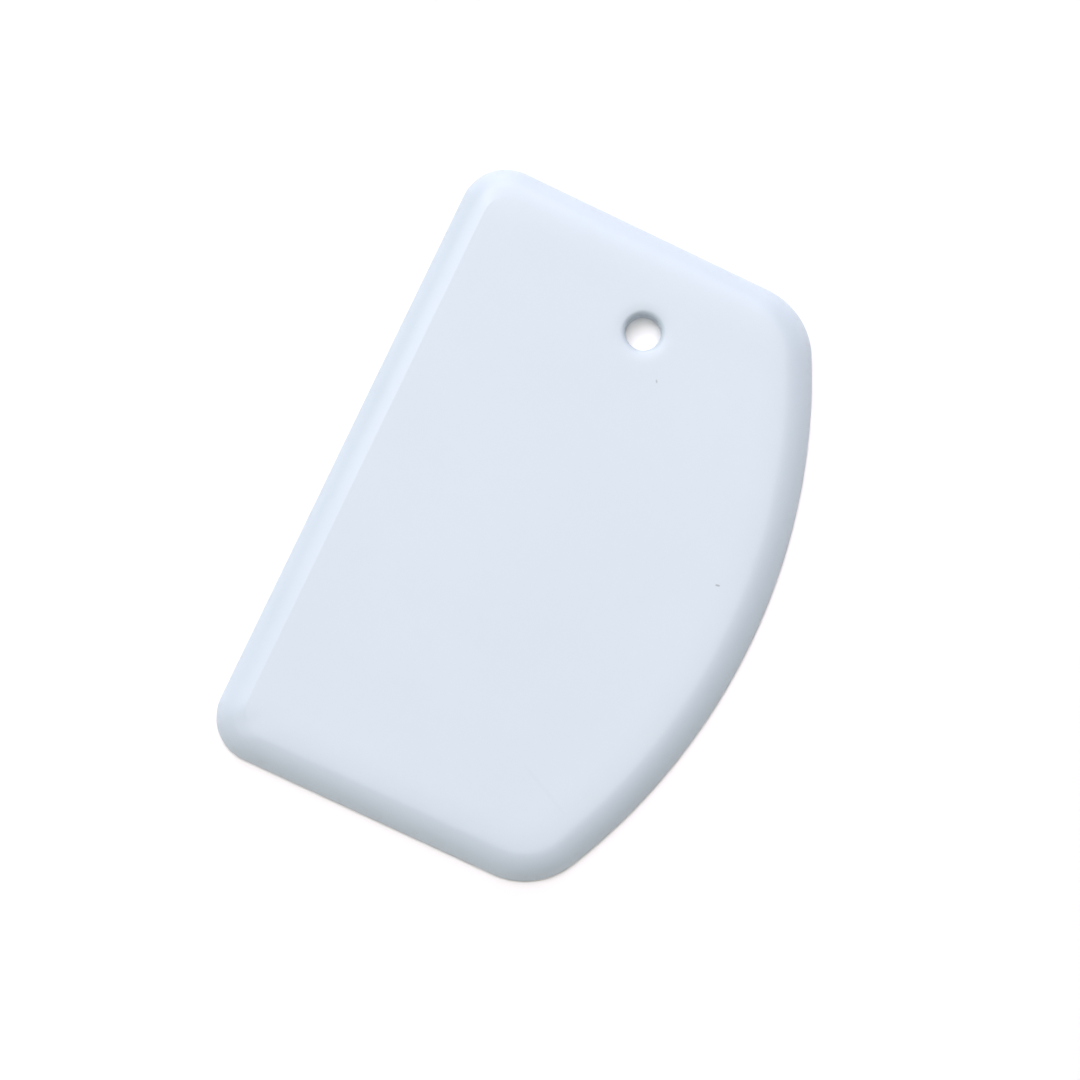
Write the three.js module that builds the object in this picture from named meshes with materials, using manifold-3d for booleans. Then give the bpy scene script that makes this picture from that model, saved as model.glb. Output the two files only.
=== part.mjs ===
// Dough scraper: one flexible moulded plate with a straight long edge for the bench, a curved
// long edge for the bowl, a bevel all round its face and a hole to hang it by.
//
// Millimetres. The plate lies on its flat back: X runs along the straight edge, Y from the
// straight edge to the curved one, and Z up through the thickness. The origin is the middle of
// the footprint, on the back.

import * as THREE from 'three';
import { mergeVertices } from 'three/addons/utils/BufferGeometryUtils.js';
import Module from 'manifold-3d';

const degrees = THREE.MathUtils.degToRad;

// Outline
const LENGTH = 140;
const WIDTH = 97;
const CURVED_EDGE_RADIUS = 134;
const STRAIGHT_CORNER_RADIUS = 10;
const CURVED_CORNER_RADIUS = 16.5;
const END_TAPER = degrees(0.8); // each short end leans in towards the curved edge

// Section through the edge, the same all round
const THICKNESS = 4.4;
const CROWN_WIDTH = 6.8; // the last stretch of the face, where it begins to fall
const CROWN_SLOPE = degrees(6);
const BEVEL_WIDTH = 6; // from the crease to the rim
const BEVEL_INNER_SLOPE = degrees(10);
const BEVEL_OUTER_SLOPE = degrees(50);
const LIP_RADIUS = 0.4;
const BACK_EDGE_RADIUS = 0.3;
const LEAST_CORNER_RADIUS = 6; // the face's corners stay this round inside the rim

// Hanging hole
const HOLE_RADIUS = 3.8;
const HOLE_TO_END = 21.2;
const HOLE_TO_STRAIGHT_EDGE = 48.1;
const FLARE_SHALLOW_RADIUS = 12; // the flare rolls off the face on this radius,
const FLARE_STEEP_RADIUS = 1.3; // and turns down into the bore on this one
const FLARE_CHANGE_SLOPE = degrees(10);
const HOLE_BACK_CHAMFER = 0.3;

// How finely each curve is divided
const STRAIGHT_CORNER_STEPS = 14;
const CURVED_CORNER_STEPS = 12;
const CURVED_EDGE_STEPS = 30;
const CROWN_STEPS = 3;
const BEVEL_STEPS = 6;
const EDGE_ROUND_STEPS = 3;
const HOLE_SIDES = 40;
const FLARE_SHALLOW_STEPS = 2;
const FLARE_STEEP_STEPS = 6;

const SAME_POINT = 1e-6;
const CUTTER_OVERSHOOT = 1;

const wasm = await Module();
wasm.setup();

function polar(radius, angle) {
  return new THREE.Vector2(Math.cos(angle), Math.sin(angle)).multiplyScalar(radius);
}

function mirrored(arc) {
  const centre = new THREE.Vector2(-arc.centre.x, arc.centre.y);
  return { ...arc, centre, from: Math.PI - arc.to, to: Math.PI - arc.from };
}

// The outline, moved in by one distance all round, as five arcs, anticlockwise from the
// right-hand corner of the straight edge. Each arc meets the next at a tangent, either directly
// or across one of the three straight stretches.
function outlineArcs(inset) {
  const straightRadius = Math.max(STRAIGHT_CORNER_RADIUS - inset, LEAST_CORNER_RADIUS);
  const curvedRadius = Math.max(CURVED_CORNER_RADIUS - inset, LEAST_CORNER_RADIUS);
  const sweepRadius = CURVED_EDGE_RADIUS - inset;
  const sweepCentre = new THREE.Vector2(0, WIDTH / 2 - CURVED_EDGE_RADIUS);

  // Each corner's centre lies on a line parallel to the tapered end, one corner radius inside
  // it. Distances to that line are measured from the outline's own corner centre.
  const endNormal = polar(1, END_TAPER);
  const endDirection = polar(1, END_TAPER + Math.PI / 2);
  const rimCorner = new THREE.Vector2(LENGTH / 2, -WIDTH / 2).add(
    new THREE.Vector2(-STRAIGHT_CORNER_RADIUS, STRAIGHT_CORNER_RADIUS),
  );
  const insideEnd = (radius) =>
    endNormal.clone().multiplyScalar(STRAIGHT_CORNER_RADIUS - inset - radius).add(rimCorner);

  const straightStart = insideEnd(straightRadius);
  const straightHeight = -WIDTH / 2 + inset + straightRadius;
  const straightStep = (straightHeight - straightStart.y) / endDirection.y;
  const straightCorner = {
    centre: straightStart.addScaledVector(endDirection, straightStep),
    radius: straightRadius,
    from: -Math.PI / 2,
    to: END_TAPER,
    steps: STRAIGHT_CORNER_STEPS,
  };

  const curvedStart = insideEnd(curvedRadius).sub(sweepCentre);
  const along = curvedStart.dot(endDirection);
  const reach = sweepRadius - curvedRadius;
  const curvedStep = Math.sqrt(along ** 2 - curvedStart.lengthSq() + reach ** 2) - along;
  const fromSweepCentre = curvedStart.addScaledVector(endDirection, curvedStep);
  const meeting = fromSweepCentre.angle();
  const curvedCorner = {
    centre: fromSweepCentre.clone().add(sweepCentre),
    radius: curvedRadius,
    from: END_TAPER,
    to: meeting,
    steps: CURVED_CORNER_STEPS,
  };

  const curvedEdge = {
    centre: sweepCentre,
    radius: sweepRadius,
    from: meeting,
    to: Math.PI - meeting,
    steps: CURVED_EDGE_STEPS,
  };
  return [straightCorner, curvedCorner, curvedEdge, mirrored(curvedCorner), mirrored(straightCorner)];
}

// The ring of points at one inset. Every inset gives the same number of points.
function insetOutline(inset) {
  const points = outlineArcs(inset).flatMap((arc) =>
    Array.from({ length: arc.steps + 1 }, (_, i) => {
      const angle = THREE.MathUtils.lerp(arc.from, arc.to, i / arc.steps);
      return polar(arc.radius, angle).add(arc.centre);
    }),
  );
  return points.filter((point, i) => point.distanceTo(points.at(i - 1)) > SAME_POINT);
}

// Carries a section on along an arc that goes down and towards smaller x as its slope goes from
// one angle to another.
function followArc(section, radius, fromSlope, toSlope, steps) {
  const start = section.at(-1);
  for (let i = 1; i <= steps; i += 1) {
    const slope = THREE.MathUtils.lerp(fromSlope, toSlope, i / steps);
    const across = radius * (Math.sin(slope) - Math.sin(fromSlope));
    const down = radius * (Math.cos(fromSlope) - Math.cos(slope));
    section.push(new THREE.Vector2(start.x - across, start.y - down));
  }
}

// The plate's section in inset and height, from the flat of the face out over the rim and under
// to the back.
function edgeSection() {
  const section = [new THREE.Vector2(CROWN_WIDTH + BEVEL_WIDTH, THICKNESS)];
  const crownRadius = CROWN_WIDTH / Math.sin(CROWN_SLOPE);
  const lipWidth = LIP_RADIUS * (1 - Math.sin(BEVEL_OUTER_SLOPE));
  const bevelRise = Math.sin(BEVEL_OUTER_SLOPE) - Math.sin(BEVEL_INNER_SLOPE);
  const bevelRadius = (BEVEL_WIDTH - lipWidth) / bevelRise;
  followArc(section, crownRadius, 0, CROWN_SLOPE, CROWN_STEPS);
  followArc(section, bevelRadius, BEVEL_INNER_SLOPE, BEVEL_OUTER_SLOPE, BEVEL_STEPS);
  followArc(section, LIP_RADIUS, BEVEL_OUTER_SLOPE, Math.PI / 2, EDGE_ROUND_STEPS);
  section.push(new THREE.Vector2(0, BACK_EDGE_RADIUS));
  followArc(section, BACK_EDGE_RADIUS, Math.PI / 2, Math.PI, EDGE_ROUND_STEPS);
  return section;
}

// The solid plate: one ring of points for each step of the section, joined by strips, and
// closed by the flat of the face and by the back.
function plateBlank() {
  const section = edgeSection();
  const rings = section.map((step) => insetOutline(step.x));
  const ringSize = rings[0].length;
  const positions = rings.flatMap((ring, level) =>
    ring.flatMap((point) => [point.x, point.y, section[level].y]),
  );

  const indices = [];
  for (let level = 0; level < rings.length - 1; level += 1) {
    const upper = level * ringSize;
    const lower = upper + ringSize;
    for (let i = 0; i < ringSize; i += 1) {
      const next = (i + 1) % ringSize;
      indices.push(lower + i, lower + next, upper + next);
      indices.push(lower + i, upper + next, upper + i);
    }
  }
  for (const [a, b, c] of THREE.ShapeUtils.triangulateShape(rings[0], [])) {
    indices.push(a, b, c);
  }
  const back = (rings.length - 1) * ringSize;
  for (const [a, b, c] of THREE.ShapeUtils.triangulateShape(rings.at(-1), [])) {
    indices.push(back + a, back + c, back + b);
  }

  const geometry = new THREE.BufferGeometry();
  geometry.setAttribute('position', new THREE.Float32BufferAttribute(positions, 3));
  geometry.setIndex(indices);
  return geometry;
}

// What the hanging hole removes: the flare that opens on to the face, the bore, and a small
// chamfer at the back.
function holeCutter() {
  const shallowWidth = FLARE_SHALLOW_RADIUS * Math.sin(FLARE_CHANGE_SLOPE);
  const steepWidth = FLARE_STEEP_RADIUS * (1 - Math.sin(FLARE_CHANGE_SLOPE));
  const flare = [new THREE.Vector2(HOLE_RADIUS + steepWidth + shallowWidth, THICKNESS)];
  followArc(flare, FLARE_SHALLOW_RADIUS, 0, FLARE_CHANGE_SLOPE, FLARE_SHALLOW_STEPS);
  followArc(flare, FLARE_STEEP_RADIUS, FLARE_CHANGE_SLOPE, Math.PI / 2, FLARE_STEEP_STEPS);

  const profile = [
    new THREE.Vector2(0, -CUTTER_OVERSHOOT),
    new THREE.Vector2(HOLE_RADIUS + HOLE_BACK_CHAMFER + CUTTER_OVERSHOOT, -CUTTER_OVERSHOOT),
    new THREE.Vector2(HOLE_RADIUS, HOLE_BACK_CHAMFER),
    ...flare.reverse(),
    new THREE.Vector2(HOLE_RADIUS + steepWidth + shallowWidth, THICKNESS + CUTTER_OVERSHOOT),
    new THREE.Vector2(0, THICKNESS + CUTTER_OVERSHOOT),
  ];
  const geometry = new THREE.LatheGeometry(profile, HOLE_SIDES);
  geometry.rotateX(Math.PI / 2);
  geometry.translate(-LENGTH / 2 + HOLE_TO_END, -WIDTH / 2 + HOLE_TO_STRAIGHT_EDGE, 0);
  return geometry;
}

function toSolid(geometry) {
  const bare = geometry.clone();
  bare.deleteAttribute('normal');
  bare.deleteAttribute('uv');
  const merged = mergeVertices(bare);
  const corners = Array.from(merged.index.array);
  const kept = [];
  for (let i = 0; i < corners.length; i += 3) {
    const [a, b, c] = corners.slice(i, i + 3);
    if (a !== b && b !== c && c !== a) kept.push(a, b, c);
  }
  const vertProperties = Float32Array.from(merged.attributes.position.array);
  return new wasm.Manifold(new wasm.Mesh({ numProp: 3, vertProperties, triVerts: Uint32Array.from(kept) }));
}

function toGeometry(solid) {
  const mesh = solid.getMesh();
  const indexed = new THREE.BufferGeometry();
  indexed.setAttribute('position', new THREE.BufferAttribute(mesh.vertProperties, 3));
  indexed.setIndex(new THREE.BufferAttribute(mesh.triVerts, 1));
  const geometry = indexed.toNonIndexed();
  geometry.computeVertexNormals();
  return geometry;
}

const plastic = new THREE.MeshStandardMaterial({ color: 0xdee9f3, roughness: 0.5, metalness: 0 });

const plate = new THREE.Mesh(toGeometry(toSolid(plateBlank()).subtract(toSolid(holeCutter()))), plastic);
plate.name = 'scraper_plate';

const scraper = new THREE.Group();
scraper.add(plate);

export default scraper;
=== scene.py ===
"""Looks of a white moulded dough scraper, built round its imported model.

Every length is in metres, in the frame of the CAD part: the plate lies on z = 0 with its
straight edge towards -Y and the hanging hole towards -X.
"""

import math

import bpy
import numpy as np
from mathutils import Matrix, Vector
from mathutils.geometry import delaunay_2d_cdt


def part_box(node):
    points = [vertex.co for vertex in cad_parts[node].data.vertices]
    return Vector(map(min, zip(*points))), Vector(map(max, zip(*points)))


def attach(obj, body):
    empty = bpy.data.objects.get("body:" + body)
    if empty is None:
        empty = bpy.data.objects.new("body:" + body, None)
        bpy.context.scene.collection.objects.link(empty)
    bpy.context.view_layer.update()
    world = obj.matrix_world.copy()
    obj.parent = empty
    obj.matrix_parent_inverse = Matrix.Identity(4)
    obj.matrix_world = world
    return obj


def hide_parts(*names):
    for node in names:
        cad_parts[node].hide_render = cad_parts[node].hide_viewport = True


MM = 0.001
NODE = "scraper_plate"
BODY = "root"

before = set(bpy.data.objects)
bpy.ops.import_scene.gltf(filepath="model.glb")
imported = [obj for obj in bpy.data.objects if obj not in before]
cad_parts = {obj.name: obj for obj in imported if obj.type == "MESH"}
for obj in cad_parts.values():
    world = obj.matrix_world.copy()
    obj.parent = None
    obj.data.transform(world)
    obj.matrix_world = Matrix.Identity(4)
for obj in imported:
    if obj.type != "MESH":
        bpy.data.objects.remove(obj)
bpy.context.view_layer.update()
low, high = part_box(NODE)

# Outline
THICKNESS = high.z - low.z
CURVED_EDGE_RADIUS = 134 * MM
STRAIGHT_CORNER_RADIUS = 10 * MM
CURVED_CORNER_RADIUS = 16.5 * MM
LEAST_CORNER_RADIUS = 6 * MM
END_TAPER = math.radians(0.8)
OUTLINE_STEP = 0.7 * MM
SAME_POINT = 0.001 * MM

# Section through the edge. The crease is crisp along the straight edge and soft elsewhere.
# Slopes are in degrees: outer at the rim, inner where the bevel meets the crease, crown on the
# face's side of it. The higher the bow, the later the bevel steepens. Width is the crease's own.
BEVEL_WIDTH = 6.0 * MM
CROWN_WIDTH = 6.8 * MM
LIP_RADIUS = 0.4 * MM
BACK_EDGE_RADIUS = 0.3 * MM
SOFT_CREASE = {"outer": 54, "inner": 9.5, "bow": 1.15, "crown": 6.0, "width": 1.5 * MM}
CRISP_CREASE = {"outer": 58, "inner": 17, "bow": 1.8, "crown": 1.0, "width": 0.3 * MM}
CROWN_BOW = 1.5
CRISP_REACH = math.radians(50)

# Hanging hole
HOLE_CENTRE = np.array([low.x + 21.2 * MM, low.y + 48.1 * MM])
HOLE_RADIUS = 3.8 * MM
FLARE_SHALLOW_RADIUS = 12 * MM
FLARE_STEEP_RADIUS = 1.3 * MM
FLARE_CHANGE_SLOPE = math.radians(10)
HOLE_BACK_RADIUS = 0.3 * MM
HOLE_SIDES = 120

# Fineness of the mesh
FACE_GRID = 1.4 * MM
BACK_GRID = 4 * MM
GRID_MARGIN = 0.6
MERGE_DISTANCE = 1e-6 * MM
SECTION_SAMPLES = 4000
BACK_EDGE_STEPS = 5
LIP_STEPS = 7
BEVEL_STEPS = 19
CREASE_STEPS = 12
CROWN_STEPS = 13
CREASE_HALF_BAND = 0.4 * MM
FLARE_SHALLOW_STEPS = 8
FLARE_STEEP_STEPS = 24
HOLE_BACK_STEPS = 3

# The kind of triangulation that leaves out what lies outside its loops
INSIDE_LOOPS = 1

# Plastic, in linear colour
CLOUD_DARK = (0.545, 0.635, 0.70, 1)
CLOUD_LIGHT = (0.56, 0.65, 0.715, 1)
MOTTLE = (0.56, 0.64, 0.70, 1)
SCUFF = (0.47, 0.50, 0.52, 1)
DIRT = (0.16, 0.17, 0.19, 1)

# Each noise as (repeats per metre, detail, roughness), and the range of values it mostly takes
CLOUD_NOISE = (22, 3, 0.5)
MOTTLE_NOISE = (190, 5, 0.6)
GLOSS_NOISE = (60, 4, 0.5)
WAVE_NOISE = (75, 3, 0.5)
SCUFF_NOISE = (900, 4, 0.65)
GRAIN_NOISE = (2600, 2, 0.5)
NOISE_RANGE = (0.3, 0.7)
SCUFF_RANGE = (0.5, 0.72)

# How strongly each noise shows in the colour, the relief and the gloss
MOTTLE_STRENGTH = 0.35
SCUFF_STRENGTH = 0.35
WAVE_HEIGHT = 0.03 * MM
GRAIN_HEIGHT = 0.0035 * MM
SCUFF_HEIGHT = 0.006 * MM
ROUGHNESS = 0.315
GLOSS_SWING = 0.02
GRAIN_SWING = 0.015
SCUFF_ROUGHNESS = 0.15
PLASTIC_IOR = 1.5

# The band along the rim that is scuffed
RIM_ATTRIBUTE = "rim"
RIM_WIDTH = 2.2 * MM

# Marks on the face as (start, end, half width, strength): a dark speck in the plastic, a
# fainter one near the hole, and a faint scratch
MARKS = [
    ((-6.1 * MM, 36.5 * MM), (-6.3 * MM, 37.4 * MM), 0.28 * MM, 0.55),
    ((-40.6 * MM, 6.5 * MM), (-40.0 * MM, 6.9 * MM), 0.23 * MM, 0.45),
    ((45.6 * MM, 16.2 * MM), (51.4 * MM, 28.4 * MM), 0.6 * MM, 0.02),
]
MARK_CORE = 0.4


# ---------------------------------------------------------------- outline

def polar(angle):
    return np.array([math.cos(angle), math.sin(angle)])


def outline_arcs(inset):
    """The outline moved in by one distance, as five arcs of (centre, radius, first, last angle)."""
    straight_radius = max(STRAIGHT_CORNER_RADIUS - inset, LEAST_CORNER_RADIUS)
    curved_radius = max(CURVED_CORNER_RADIUS - inset, LEAST_CORNER_RADIUS)
    sweep_radius = CURVED_EDGE_RADIUS - inset
    sweep_centre = np.array([0.0, high.y - CURVED_EDGE_RADIUS])
    rim_corner = np.array([high.x - STRAIGHT_CORNER_RADIUS, low.y + STRAIGHT_CORNER_RADIUS])
    end_normal, end_direction = polar(END_TAPER), polar(END_TAPER + math.pi / 2)

    # The corner that touches the short end and the straight edge
    start = rim_corner + (STRAIGHT_CORNER_RADIUS - inset - straight_radius) * end_normal
    step = (low.y + inset + straight_radius - start[1]) / end_direction[1]
    straight_centre = start + step * end_direction

    # The corner that touches the short end and the curved edge
    start = rim_corner + (STRAIGHT_CORNER_RADIUS - inset - curved_radius) * end_normal - sweep_centre
    along = start @ end_direction
    reach = sweep_radius - curved_radius
    step = math.sqrt(along ** 2 - start @ start + reach ** 2) - along
    offset = start + step * end_direction
    meeting = math.atan2(offset[1], offset[0])

    right = [
        (straight_centre, straight_radius, -math.pi / 2, END_TAPER),
        (offset + sweep_centre, curved_radius, END_TAPER, meeting),
    ]
    left = [(centre * (-1, 1), radius, math.pi - last, math.pi - first)
            for centre, radius, first, last in reversed(right)]
    return right + [(sweep_centre, sweep_radius, meeting, math.pi - meeting)] + left


def arc_point(arc, angle):
    return arc[0] + arc[1] * polar(angle)


def outline_plan():
    """How many steps each arc and the straight stretch after it take, counted on the rim."""
    arcs = outline_arcs(0)
    plan = []
    for arc, after in zip(arcs, arcs[1:] + arcs[:1]):
        gap = np.linalg.norm(arc_point(after, after[2]) - arc_point(arc, arc[3]))
        arc_steps = math.ceil(arc[1] * (arc[3] - arc[2]) / OUTLINE_STEP)
        gap_steps = math.ceil(gap / OUTLINE_STEP) if gap > SAME_POINT else 0
        plan.append((arc_steps, gap_steps))
    return plan


def outline_ring(plan, inset):
    """Points of the outline at one inset, and the angle of the outward normal at each."""
    arcs = outline_arcs(inset)
    points, angles = [], []
    for (arc_steps, gap_steps), arc, after in zip(plan, arcs, arcs[1:] + arcs[:1]):
        for angle in np.linspace(arc[2], arc[3], arc_steps, endpoint=False):
            points.append(arc_point(arc, angle))
            angles.append(angle)
        start, end = arc_point(arc, arc[3]), arc_point(after, after[2])
        for share in np.linspace(0, 1, gap_steps, endpoint=False):
            points.append(start + share * (end - start))
            angles.append(arc[3])
    return np.array(points), np.array(angles)


# ---------------------------------------------------------------- section

def smoothstep(low_edge, high_edge, value):
    t = np.clip((value - low_edge) / (high_edge - low_edge), 0, 1)
    return t * t * (3 - 2 * t)


def section_table(crease):
    """Height of the face against the inset, from a slope that falls smoothly towards the flat."""
    outer, inner, crown_slope = (math.radians(crease[key]) for key in ("outer", "inner", "crown"))
    lip_width = LIP_RADIUS * (1 - math.sin(outer))
    inset = np.linspace(lip_width, BEVEL_WIDTH + CROWN_WIDTH, SECTION_SAMPLES)
    out = np.clip((BEVEL_WIDTH - inset) / (BEVEL_WIDTH - lip_width), 0, 1) ** crease["bow"]
    sine = math.sin(inner) + (math.sin(outer) - math.sin(inner)) * out
    crown = crown_slope * (1 - np.clip((inset - BEVEL_WIDTH) / CROWN_WIDTH, 0, 1)) ** CROWN_BOW
    half = crease["width"] / 2
    past_crease = smoothstep(BEVEL_WIDTH - half, BEVEL_WIDTH + half, inset)
    slope = np.tan(np.arcsin(sine) * (1 - past_crease) + crown * past_crease)
    rise = np.concatenate([[0], np.cumsum(np.diff(inset) * (slope[1:] + slope[:-1]) / 2)])
    return inset, THICKNESS - (rise[-1] - rise)


SOFT_SECTION = section_table(SOFT_CREASE)
CRISP_SECTION = section_table(CRISP_CREASE)


def crispness(angles):
    """1 where the outline faces the straight edge's way, fading to 0 round its corners."""
    return smoothstep(math.cos(CRISP_REACH), 1.0, -np.sin(angles))


def bevel_heights(inset, angles):
    soft, crisp = np.interp(inset, *SOFT_SECTION), np.interp(inset, *CRISP_SECTION)
    return soft + (crisp - soft) * crispness(angles)


def flare_profile():
    """Radius and height down the hole's flare, from the flat of the face to the bore."""
    change = math.sin(FLARE_CHANGE_SLOPE)
    width = FLARE_SHALLOW_RADIUS * change + FLARE_STEEP_RADIUS * (1 - change)
    radius, height = HOLE_RADIUS + width, THICKNESS
    profile = [(radius, height)]
    for arc_radius, first, last, steps in (
            (FLARE_SHALLOW_RADIUS, 0, FLARE_CHANGE_SLOPE, FLARE_SHALLOW_STEPS),
            (FLARE_STEEP_RADIUS, FLARE_CHANGE_SLOPE, math.pi / 2, FLARE_STEEP_STEPS)):
        for slope in np.linspace(first, last, steps + 1)[1:]:
            profile.append((radius - arc_radius * (math.sin(slope) - math.sin(first)),
                            height - arc_radius * (math.cos(first) - math.cos(slope))))
        radius, height = profile[-1]
    return profile


# ---------------------------------------------------------------- mesh

class MeshParts:
    """Vertices and faces gathered ring by ring."""

    def __init__(self):
        self.vertices = []
        self.faces = []

    def add_points(self, points, heights):
        first = len(self.vertices)
        heights = np.broadcast_to(heights, len(points))
        self.vertices += [(x, y, z) for (x, y), z in zip(points, heights)]
        return list(range(first, len(self.vertices)))

    def join_rings(self, outer, inner):
        """A strip of quads; seen from outside, outer runs to the right below inner."""
        count = len(outer)
        for i in range(count):
            after = (i + 1) % count
            self.faces.append((outer[i], outer[after], inner[after], inner[i]))

    def fill_between(self, outer, inner, spacing, height, upwards):
        """Fills from a ring to the ring round the hole with a triangulated grid."""
        outer_points = np.array([self.vertices[i][:2] for i in outer])
        inner_points = np.array([self.vertices[i][:2] for i in inner])
        grid = triangle_grid(outer_points, inner_points, spacing)
        grid_ids = self.add_points(grid, height)
        known = [*outer, *inner, *grid_ids]
        points = [Vector(self.vertices[i][:2]) for i in known]
        outer_count, inner_count = len(outer), len(inner)
        edges = [(i, (i + 1) % outer_count) for i in range(outer_count)]
        edges += [(outer_count + i, outer_count + (i + 1) % inner_count)
                  for i in range(inner_count)]
        placed, _, triangles, sources, _, _ = delaunay_2d_cdt(
            points, edges, [], INSIDE_LOOPS, MERGE_DISTANCE)
        hole_limit = from_hole(inner_points).min() * math.cos(math.pi / inner_count)
        for triangle in triangles:
            centre = sum((placed[i] for i in triangle), Vector((0, 0))) / 3
            if from_hole(np.array([centre]))[0] < hole_limit:
                continue
            corners = [known[sources[i][0]] for i in triangle]
            (ax, ay), (bx, by), (cx, cy) = [self.vertices[i][:2] for i in corners]
            anticlockwise = (bx - ax) * (cy - ay) - (by - ay) * (cx - ax) > 0
            self.faces.append(tuple(corners if anticlockwise == upwards else corners[::-1]))


def from_hole(points):
    """How far each point is from the hole's axis."""
    return np.hypot(*(points - HOLE_CENTRE).T)


def triangle_grid(outer_points, inner_points, spacing):
    """Grid points well inside one loop and well outside the ring round the hole."""
    rows = np.arange(low.y, high.y, spacing * math.sqrt(3) / 2)
    grid = np.array([(x + (row % 2) * spacing / 2, y)
                     for row, y in enumerate(rows)
                     for x in np.arange(low.x, high.x, spacing)])
    edge = np.roll(outer_points, -1, 0) - outer_points
    inward = np.stack([-edge[:, 1], edge[:, 0]], 1) / np.hypot(*edge.T)[:, None]
    clearance = np.array([((point - outer_points) * inward).sum(1).min() for point in grid])
    hole_clearance = from_hole(grid) - from_hole(inner_points).max()
    margin = GRID_MARGIN * spacing
    return grid[(clearance > margin) & (hole_clearance > margin)]


def bevel_insets():
    """Insets of the bevel's and the crown's rings, close together at the crease."""
    crease_start, crease_end = BEVEL_WIDTH - CREASE_HALF_BAND, BEVEL_WIDTH + CREASE_HALF_BAND
    return np.unique(np.concatenate([
        np.linspace(LIP_RADIUS / 2, crease_start, BEVEL_STEPS + 1),
        np.linspace(crease_start, crease_end, CREASE_STEPS + 1),
        np.linspace(crease_end, BEVEL_WIDTH + CROWN_WIDTH, CROWN_STEPS + 1),
    ]))


def rim_rings(parts, plan):
    """Rings from the back, round the rim and over the bevel to the flat of the face."""
    rings = []
    for angle in np.linspace(0, math.pi / 2, BACK_EDGE_STEPS + 1):
        points, _ = outline_ring(plan, BACK_EDGE_RADIUS * (1 - math.sin(angle)))
        rings.append(parts.add_points(points, BACK_EDGE_RADIUS * (1 - math.cos(angle))))

    # The lip rolls from upright to the bevel's slope, which varies a little round the outline.
    rim_points, angles = outline_ring(plan, 0)
    normals = np.stack([np.cos(angles), np.sin(angles)], 1)
    sharpening = CRISP_CREASE["outer"] - SOFT_CREASE["outer"]
    outer_slope = np.radians(SOFT_CREASE["outer"] + sharpening * crispness(angles))
    bevel_foot = bevel_heights(LIP_RADIUS * (1 - np.sin(outer_slope)), angles)
    lip_base = bevel_foot - LIP_RADIUS * np.cos(outer_slope)
    for share in np.linspace(0, 1, LIP_STEPS + 1):
        slope = math.pi / 2 + share * (outer_slope - math.pi / 2)
        inset = LIP_RADIUS * (1 - np.sin(slope))
        points = rim_points - inset[:, None] * normals
        rings.append(parts.add_points(points, lip_base + LIP_RADIUS * np.cos(slope)))

    for inset in bevel_insets():
        points, angles = outline_ring(plan, inset)
        rings.append(parts.add_points(points, bevel_heights(inset, angles)))
    for outer, inner in zip(rings, rings[1:]):
        parts.join_rings(outer, inner)
    return rings


def hole_rings(parts):
    """Rings from the flat of the face, down the hole's flare and bore, to the back."""
    turn = np.linspace(0, 2 * math.pi, HOLE_SIDES, endpoint=False)
    circle = np.stack([np.cos(turn), np.sin(turn)], 1)
    rings = [parts.add_points(HOLE_CENTRE + radius * circle, height)
             for radius, height in flare_profile()]
    for angle in np.linspace(0, math.pi / 2, HOLE_BACK_STEPS + 1):
        points = HOLE_CENTRE + (HOLE_RADIUS + HOLE_BACK_RADIUS * (1 - math.cos(angle))) * circle
        rings.append(parts.add_points(points, HOLE_BACK_RADIUS * (1 - math.sin(angle))))
    for above, below in zip(rings, rings[1:]):
        parts.join_rings(above, below)
    return rings


def mark_rim(mesh):
    """Stores how near each vertex is to the rim, for the wear in the material."""
    places = np.array([vertex.co for vertex in mesh.vertices])
    outline, angles = outline_ring(outline_plan(), 0)
    normals = np.stack([np.cos(angles), np.sin(angles)], 1)
    inset = np.array([((outline - place) * normals).sum(1).min() for place in places[:, :2]])
    rim = mesh.attributes.new(RIM_ATTRIBUTE, "FLOAT", "POINT")
    rim.data.foreach_set("value", 1 - smoothstep(0, RIM_WIDTH, inset))


def build_plate():
    parts = MeshParts()
    plan = outline_plan()
    edge_rings = rim_rings(parts, plan)
    bore_rings = hole_rings(parts)
    parts.fill_between(edge_rings[-1], bore_rings[0], FACE_GRID, THICKNESS, upwards=True)
    parts.fill_between(edge_rings[0], bore_rings[-1], BACK_GRID, 0.0, upwards=False)

    mesh = bpy.data.meshes.new("plate")
    mesh.from_pydata(parts.vertices, [], parts.faces)
    mesh.validate()
    mark_rim(mesh)
    mesh.polygons.foreach_set("use_smooth", [True] * len(mesh.polygons))
    plate = bpy.data.objects.new("plate", mesh)
    bpy.context.scene.collection.objects.link(plate)
    return plate


# ---------------------------------------------------------------- material

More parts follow.
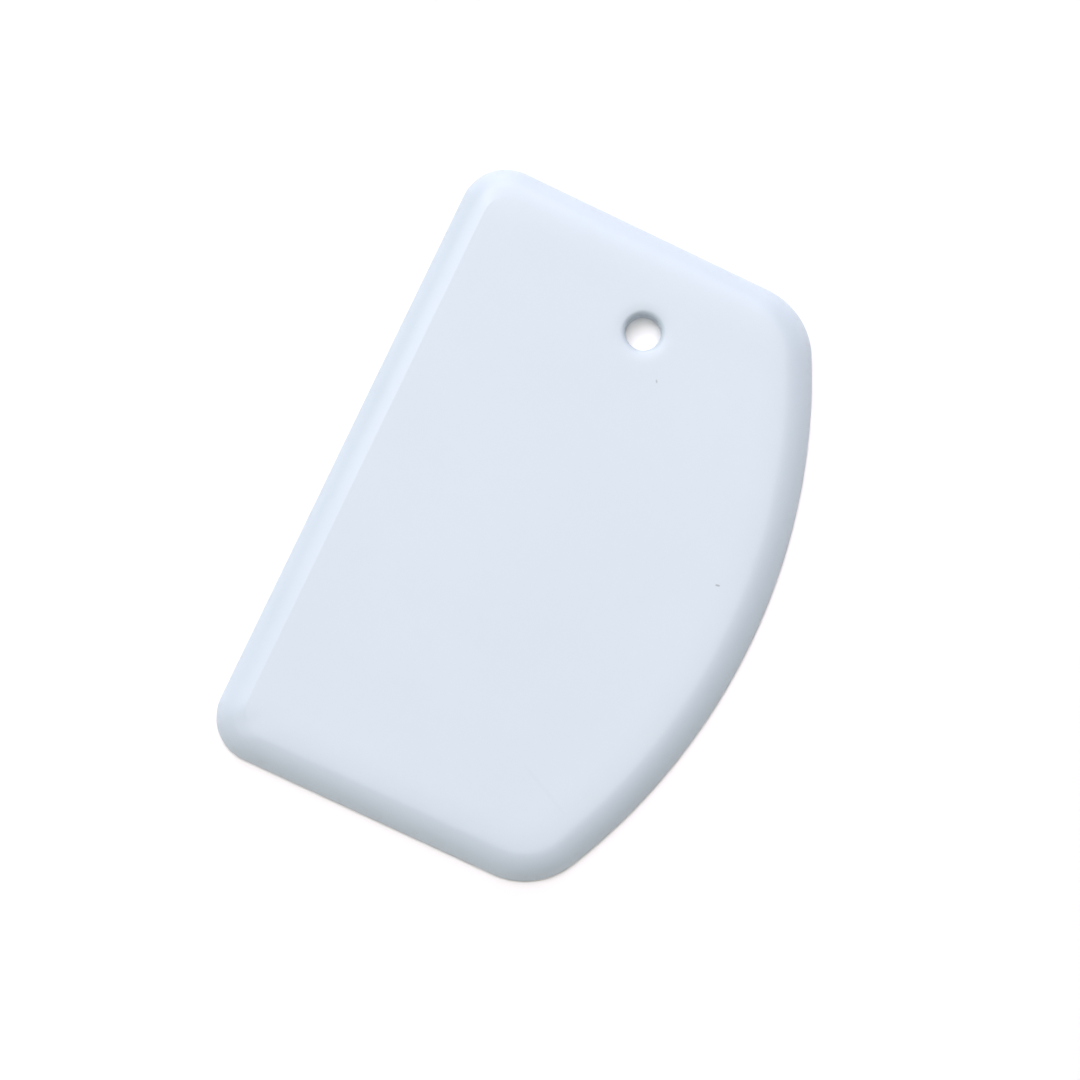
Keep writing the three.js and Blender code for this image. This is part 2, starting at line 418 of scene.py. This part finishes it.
class Nodes:
    """Adds shader nodes to one material or world and joins them up."""

    # The Mix node has sockets for each kind of data; these are its factor and its two colours.
    MIX_INPUTS = (0, 6, 7)
    MIX_OUTPUT = 2

    def __init__(self, owner):
        self.tree = owner.node_tree

    def add(self, kind, settings=None, **inputs):
        node = self.tree.nodes.new(kind)
        for key, value in (settings or {}).items():
            setattr(node, key, value)
        for name, value in inputs.items():
            self.feed(node, name, value)
        return node

    def feed(self, node, key, value):
        """Links or sets one input, given by its name or its number."""
        socket = node.inputs[key]
        if isinstance(value, bpy.types.NodeSocket):
            self.tree.links.new(value, socket)
        else:
            socket.default_value = value

    def noise(self, where, settings):
        scale, detail, roughness = settings
        node = self.add("ShaderNodeTexNoise", Vector=where, Scale=scale, Detail=detail,
                        Roughness=roughness)
        return node.outputs["Fac"]

    def math(self, operation, first, second):
        node = self.add("ShaderNodeMath", {"operation": operation})
        self.feed(node, 0, first)
        self.feed(node, 1, second)
        return node.outputs["Value"]

    def ramp(self, value, low_in, high_in, low_out, high_out):
        """Straight-line map of a value from one range to another, clamped."""
        node = self.add("ShaderNodeMapRange", Value=value)
        limits = {"From Min": low_in, "From Max": high_in, "To Min": low_out, "To Max": high_out}
        for name, limit in limits.items():
            self.feed(node, name, limit)
        return node.outputs["Result"]

    def mix(self, factor, first, second):
        node = self.add("ShaderNodeMix", {"data_type": "RGBA"})
        for index, value in zip(self.MIX_INPUTS, (factor, first, second)):
            self.feed(node, index, value)
        return node.outputs[self.MIX_OUTPUT]

    def bump(self, height, distance, over=None):
        """A relief of one height in metres, laid over another relief if one is given."""
        node = self.add("ShaderNodeBump", Height=height, Distance=distance)
        if over is not None:
            self.feed(node, "Normal", over)
        return node.outputs["Normal"]

    def attribute(self, name):
        return self.add("ShaderNodeAttribute", {"attribute_name": name}).outputs["Fac"]

    def distance(self, where, point):
        node = self.add("ShaderNodeVectorMath", {"operation": "DISTANCE"})
        self.feed(node, 0, where)
        self.feed(node, 1, (*point, high.z))
        return node.outputs["Value"]

    def mark(self, where, start, end, half_width):
        """1 along one slim oval on the face, with a soft edge, and 0 elsewhere."""
        half_length = math.dist(start, end) / 2
        core, edge = (2 * math.hypot(half_length, half_width * part) for part in (MARK_CORE, 1))
        path = self.math("ADD", self.distance(where, start), self.distance(where, end))
        return self.ramp(path, core, edge, 1, 0)


def plastic_material():
    """Cool white moulded plastic: satin, faintly cloudy, with a fine grain and a worn rim."""
    material = bpy.data.materials.new("cool_white_plastic")
    material.use_nodes = True
    nodes = Nodes(material)
    where = nodes.add("ShaderNodeTexCoord").outputs["Object"]
    rim = nodes.attribute(RIM_ATTRIBUTE)

    # Colour: cloudy moulded plastic, a little yellower and dirtier in the scuffs of the rim
    clouds = nodes.ramp(nodes.noise(where, CLOUD_NOISE), *NOISE_RANGE, 0, 1)
    colour = nodes.mix(clouds, CLOUD_DARK, CLOUD_LIGHT)
    mottle = nodes.ramp(nodes.noise(where, MOTTLE_NOISE), *NOISE_RANGE, 0, MOTTLE_STRENGTH)
    colour = nodes.mix(mottle, colour, MOTTLE)
    scuffs = nodes.ramp(nodes.noise(where, SCUFF_NOISE), *SCUFF_RANGE, 0, 1)
    rim_scuffs = nodes.math("MULTIPLY", scuffs, rim)
    colour = nodes.mix(nodes.math("MULTIPLY", rim_scuffs, SCUFF_STRENGTH), colour, SCUFF)
    for start, end, half_width, strength in MARKS:
        mark = nodes.math("MULTIPLY", nodes.mark(where, start, end, half_width), strength)
        colour = nodes.mix(mark, colour, DIRT)

    # Gloss: uneven over the face, duller in the scuffs
    gloss = nodes.noise(where, GLOSS_NOISE)
    gloss = nodes.ramp(gloss, *NOISE_RANGE, ROUGHNESS - GLOSS_SWING, ROUGHNESS + GLOSS_SWING)
    grain = nodes.noise(where, GRAIN_NOISE)
    roughness = nodes.ramp(grain, *NOISE_RANGE, -GRAIN_SWING, GRAIN_SWING)
    roughness = nodes.math("ADD", gloss, roughness)
    scuff_roughness = nodes.math("MULTIPLY", rim_scuffs, SCUFF_ROUGHNESS)
    roughness = nodes.math("ADD", roughness, scuff_roughness)

    # Relief: slow waves left by moulding, a fine grain, and the scuffs
    waves = nodes.noise(where, WAVE_NOISE)
    relief = nodes.bump(waves, WAVE_HEIGHT)
    relief = nodes.bump(grain, GRAIN_HEIGHT, relief)
    relief = nodes.bump(rim_scuffs, SCUFF_HEIGHT, relief)

    shader = material.node_tree.nodes["Principled BSDF"]
    nodes.feed(shader, "Base Color", colour)
    nodes.feed(shader, "Roughness", roughness)
    nodes.feed(shader, "Normal", relief)
    shader.inputs["IOR"].default_value = PLASTIC_IOR
    return material


# ---------------------------------------------------------------- stage, light, camera

FLOOR_HALF_SIZE = 3.0
FLOOR_COLOUR = (0.92, 0.92, 0.92, 1)
FLOOR_ROUGHNESS = 0.9

# Soft light, strongest from a tall window past the hole's end, with a weak fill from the other.
# Each box as name, turn from the window and elevation in degrees, size in metres, power in
# watts, and colour.
COOL_WHITE = (0.95, 0.88, 1.0)
WHITE = (1.0, 1.0, 1.0)
WARM_WHITE = (1.0, 0.9, 0.75)
WINDOW_AZIMUTH = 206
SOFTBOX_DISTANCE = 5.0
SOFTBOXES = [
    ("window_low", 0, 25, 3.75, 75, COOL_WHITE),
    ("window_high", 0, 50, 3.75, 140, COOL_WHITE),
    ("overhead", 0, 90, 3.75, 90, WHITE),
    ("near_side", 45, 50, 2.5, 80, WHITE),
    ("far_side", -45, 75, 3.75, 40, WARM_WHITE),
    ("fill", 135, 35, 3.75, 20, WARM_WHITE),
]

# A pale wall stands round the bench, and fades out between these two heights (as sines).
WALL_FADE = (0.13, 0.16)
WALL_STRENGTH = 0.9

# The camera looks almost straight down, at a point close to the middle of the plate.
CAMERA_LENS = 100
CAMERA_SENSOR = 36
CAMERA_CLIP = (0.01, 20)
CAMERA_AZIMUTH = 32.5
CAMERA_ELEVATION = 83.8
CAMERA_DISTANCE = 0.6416
CAMERA_ROLL = math.radians(-7.2)
CAMERA_TARGET = Vector((0.7 * MM, -1.5 * MM, 0))


def make_floor():
    mesh = bpy.data.meshes.new("floor")
    signs = ((-1, -1), (1, -1), (1, 1), (-1, 1))
    corners = [(x * FLOOR_HALF_SIZE, y * FLOOR_HALF_SIZE, 0) for x, y in signs]
    mesh.from_pydata(corners, [], [(0, 1, 2, 3)])
    floor = bpy.data.objects.new("floor", mesh)
    bpy.context.scene.collection.objects.link(floor)
    material = bpy.data.materials.new("white_paper")
    material.use_nodes = True
    shader = material.node_tree.nodes["Principled BSDF"]
    shader.inputs["Base Color"].default_value = FLOOR_COLOUR
    shader.inputs["Roughness"].default_value = FLOOR_ROUGHNESS
    shader.inputs["Specular IOR Level"].default_value = 0.0
    mesh.materials.append(material)


def stand(name, data, azimuth, elevation, distance, target=Vector((0, 0, 0)), roll=0.0):
    """Adds a light or camera on a sphere round the target, with its -Z axis at the target."""
    a, e = math.radians(azimuth), math.radians(elevation)
    outward = Vector((math.cos(e) * math.cos(a), math.cos(e) * math.sin(a), math.sin(e)))
    turn = (-outward).to_track_quat("-Z", "Y").to_matrix().to_4x4()
    holder = bpy.data.objects.new(name, data)
    bpy.context.scene.collection.objects.link(holder)
    place = Matrix.Translation(target + distance * outward)
    holder.matrix_world = place @ turn @ Matrix.Rotation(roll, 4, "Z")
    return holder


def make_lights():
    world = bpy.data.worlds.new("studio")
    bpy.context.scene.world = world
    world.use_nodes = True
    nodes = Nodes(world)
    background = world.node_tree.nodes["Background"]
    direction = nodes.add("ShaderNodeTexCoord").outputs["Generated"]
    height = nodes.add("ShaderNodeSeparateXYZ", Vector=direction).outputs["Z"]
    nodes.feed(background, "Color", nodes.ramp(height, *WALL_FADE, 1, 0))
    background.inputs["Strength"].default_value = WALL_STRENGTH
    for name, turn, elevation, size, power, colour in SOFTBOXES:
        light = bpy.data.lights.new(name, "AREA")
        light.shape = "SQUARE"
        light.size = size
        light.energy = power
        light.color = colour
        stand(name, light, WINDOW_AZIMUTH + turn, elevation, SOFTBOX_DISTANCE)


def make_camera():
    camera = bpy.data.cameras.new("camera")
    camera.lens = CAMERA_LENS
    camera.sensor_width = CAMERA_SENSOR
    camera.clip_start, camera.clip_end = CAMERA_CLIP
    bpy.context.scene.camera = stand("camera", camera, CAMERA_AZIMUTH, CAMERA_ELEVATION,
                                     CAMERA_DISTANCE, CAMERA_TARGET, CAMERA_ROLL)


bpy.context.scene.view_settings.view_transform = "Standard"
make_camera()
make_lights()
make_floor()
plate = build_plate()
plate.data.materials.append(plastic_material())

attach(plate, BODY)
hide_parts(NODE)
